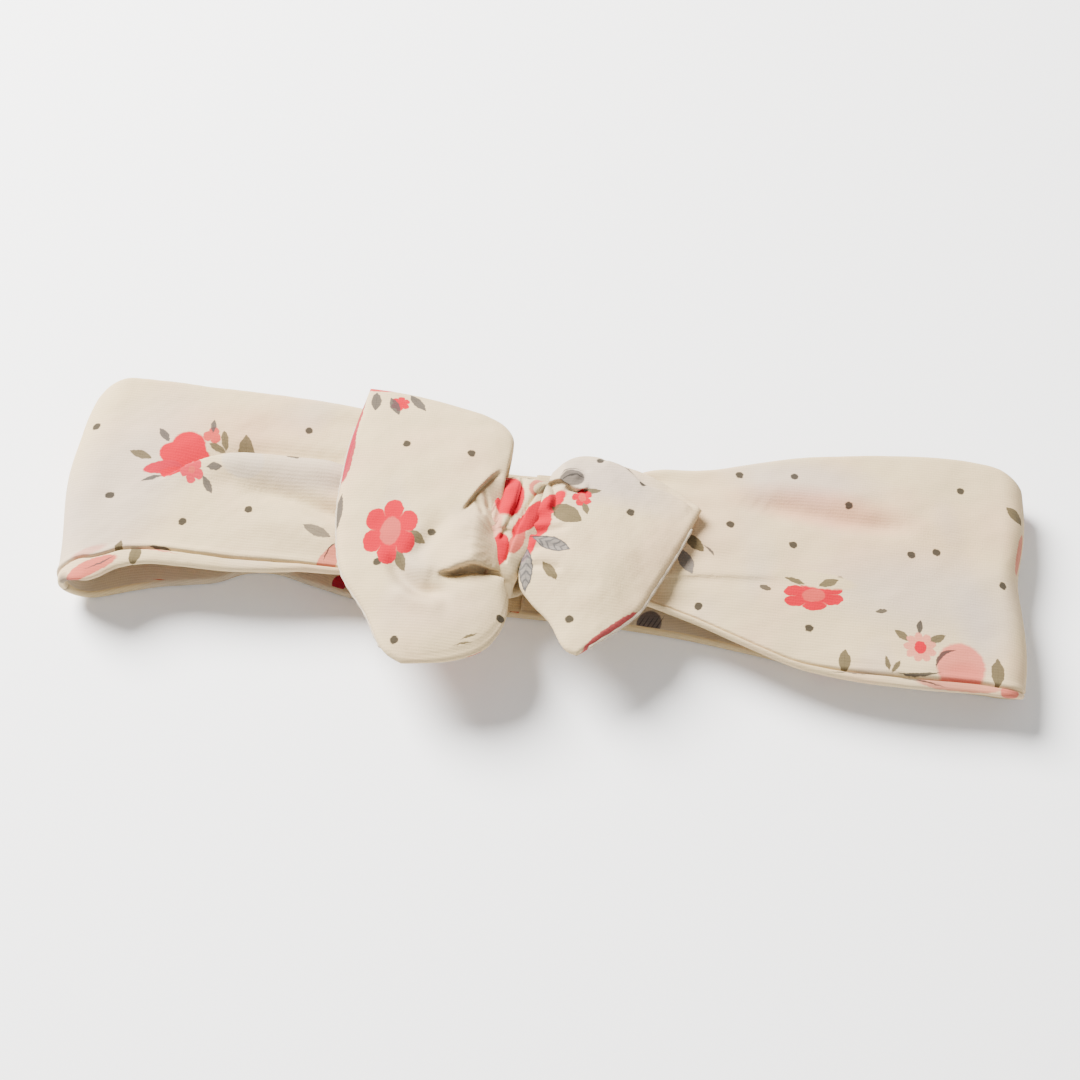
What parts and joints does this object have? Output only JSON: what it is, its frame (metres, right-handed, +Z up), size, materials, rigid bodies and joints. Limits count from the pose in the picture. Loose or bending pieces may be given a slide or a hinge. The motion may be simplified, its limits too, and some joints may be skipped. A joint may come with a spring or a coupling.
{
  "type": "knotted baby headband",
  "caption": "Soft knit headband: a closed loop of tubular jersey gathered by a short tie knotted round its front, with two flared tails.",
  "frame": {"origin": "on the underside of the back seam's outer ply, which rests on the table, below the knot", "axes": "+X along the flat band towards its right fold, +Y across the band away from its seamed edge, +Z up out of the table"},
  "size_m": [0.2015, 0.0646, 0.0203],
  "materials": {
    "jersey": "matt knit",
    "thread": "matt"
  },
  "bodies": {
    "back_seam": {"back_seam_outer_ply": "jersey", "back_seam_inner_ply": "jersey", "back_seam_allowance": "jersey", "back_seam_thread": "thread"},
    "knot": {"band_gather": "jersey", "knot_front_turn": "jersey", "knot_back_turn": "jersey"},
    "back_left": {"back_left_outer_ply": "jersey", "back_left_inner_ply": "jersey", "back_left_seam_thread": "thread", "left_fold_outer_ply": "jersey", "left_fold_inner_ply": "jersey"},
    "front_left": {"front_left_outer_ply": "jersey", "front_left_inner_ply": "jersey", "front_left_gather": "jersey", "front_left_seam_thread": "thread"},
    "left_tail": {"left_tail_top_ply": "jersey", "left_tail_under_ply": "jersey", "left_tail_neck": "jersey", "left_tail_end_thread": "thread"},
    "back_right": {"back_right_outer_ply": "jersey", "back_right_inner_ply": "jersey", "back_right_seam_thread": "thread", "right_fold_outer_ply": "jersey", "right_fold_inner_ply": "jersey"},
    "front_right": {"front_right_outer_ply": "jersey", "front_right_inner_ply": "jersey", "front_right_gather": "jersey", "front_right_seam_thread": "thread"},
    "right_tail": {"right_tail_top_ply": "jersey", "right_tail_under_ply": "jersey", "right_tail_neck": "jersey", "right_tail_end_thread": "thread"}
  },
  "joints": [
    {"name": "left_back_bend", "type": "hinge", "parent": "back_seam", "child": "back_left", "pos_m": [-0.0135, 0, 0.001], "axis": [0, 1, 0], "range_deg": [0, 45]},
    {"name": "left_fold_bend", "type": "hinge", "parent": "back_left", "child": "front_left", "pos_m": [-0.093, 0, 0.007], "axis": [0, -1, 0], "range_deg": [0, 90], "deforming": ["left_fold_outer_ply", "left_fold_inner_ply"]},
    {"name": "left_knot_bend", "type": "hinge", "parent": "front_left", "child": "knot", "pos_m": [-0.0135, 0, 0.0105], "axis": [0, 1, 0], "range_deg": [0, 45]},
    {"name": "right_back_bend", "type": "hinge", "parent": "back_seam", "child": "back_right", "pos_m": [0.007, 0, 0.001], "axis": [0, -1, 0], "range_deg": [0, 38.97]},
    {"name": "right_fold_bend", "type": "hinge", "parent": "back_right", "child": "front_right", "pos_m": [0.096, 0, 0.0055], "axis": [0, 1, 0], "range_deg": [0, 77.94], "deforming": ["right_fold_outer_ply", "right_fold_inner_ply"]},
    {"name": "left_tail_lift", "type": "hinge", "parent": "knot", "child": "left_tail", "pos_m": [-0.0128, 0, 0.0156], "axis": [0, 1, 0], "range_deg": [0, 90]},
    {"name": "right_tail_lift", "type": "hinge", "parent": "knot", "child": "right_tail", "pos_m": [0.0036, -0.0054, 0.0156], "axis": [-0.454, -0.891, 0], "range_deg": [0, 90]}
  ],
  "couplings": [
    {"joint": "left_fold_bend", "follows": "left_back_bend", "ratio": 2},
    {"joint": "left_knot_bend", "follows": "left_back_bend", "ratio": 1},
    {"joint": "right_back_bend", "follows": "left_back_bend", "ratio": 0.866},
    {"joint": "right_fold_bend", "follows": "left_back_bend", "ratio": 1.732}
  ]
}
